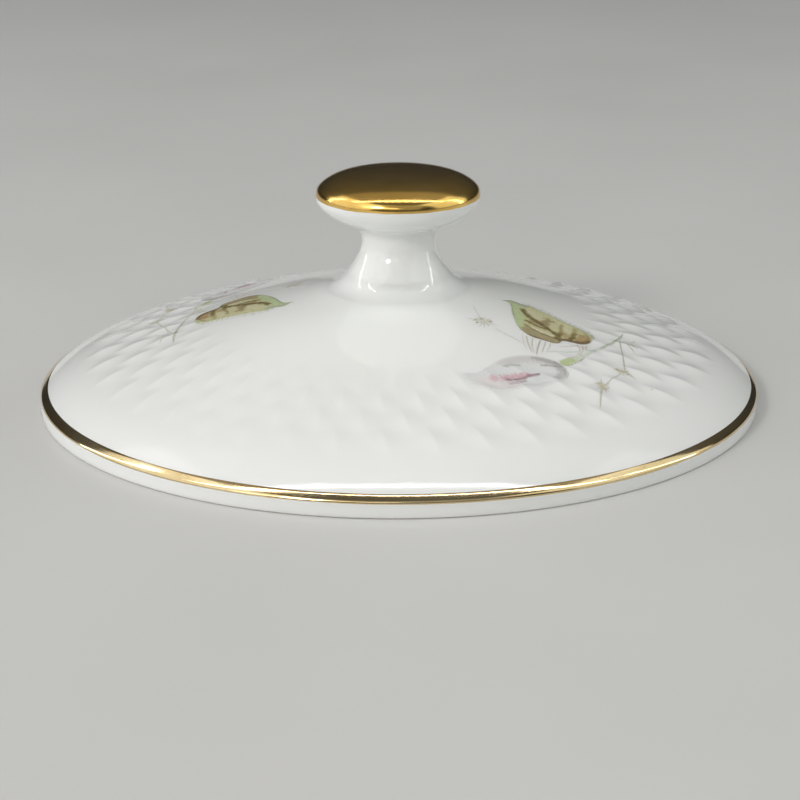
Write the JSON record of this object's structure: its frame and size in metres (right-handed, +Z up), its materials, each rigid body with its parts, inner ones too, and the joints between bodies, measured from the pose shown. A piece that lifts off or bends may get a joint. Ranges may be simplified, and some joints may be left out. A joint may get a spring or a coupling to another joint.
{
  "type": "sugar bowl lid",
  "caption": "Round glazed porcelain lid with a staggered scale relief, gilded rim line, gilded button knob and floral sprays, which drops into a sugar bowl's gallery.",
  "frame": {"origin": "centre of the ground ring that the lid stands on, at the bottom of the lid", "axes": "+Z up along the axis of the dome and the knob; +X to the right as seen from the front, towards the right-hand spray; -Y to the front"},
  "size_m": [0.1001, 0.1, 0.0322],
  "materials": {
    "porcelain": "white hard-paste porcelain under a clear gloss glaze",
    "gold": "burnished bright gold, thinly worn",
    "leaf_enamel": "fired olive and brown on-glaze enamel",
    "rose_enamel": "fired grey-lilac and pink on-glaze enamel",
    "twig_enamel": "fired grey-green on-glaze enamel",
    "sprig_enamel": "fired buff on-glaze enamel"
  },
  "bodies": {
    "root": {"cover": "porcelain", "knob": "porcelain", "luting_slip": "porcelain", "rim_gilding": "gold", "knob_gilding": "gold", "right_leaf_print": "leaf_enamel", "right_rosebud_print": "rose_enamel", "right_twig_print": "twig_enamel", "right_sprig_print": "sprig_enamel", "left_leaf_print": "leaf_enamel", "left_rosebud_print": "rose_enamel", "left_twig_print": "twig_enamel", "left_sprig_print": "sprig_enamel"}
  },
  "joints": []
}
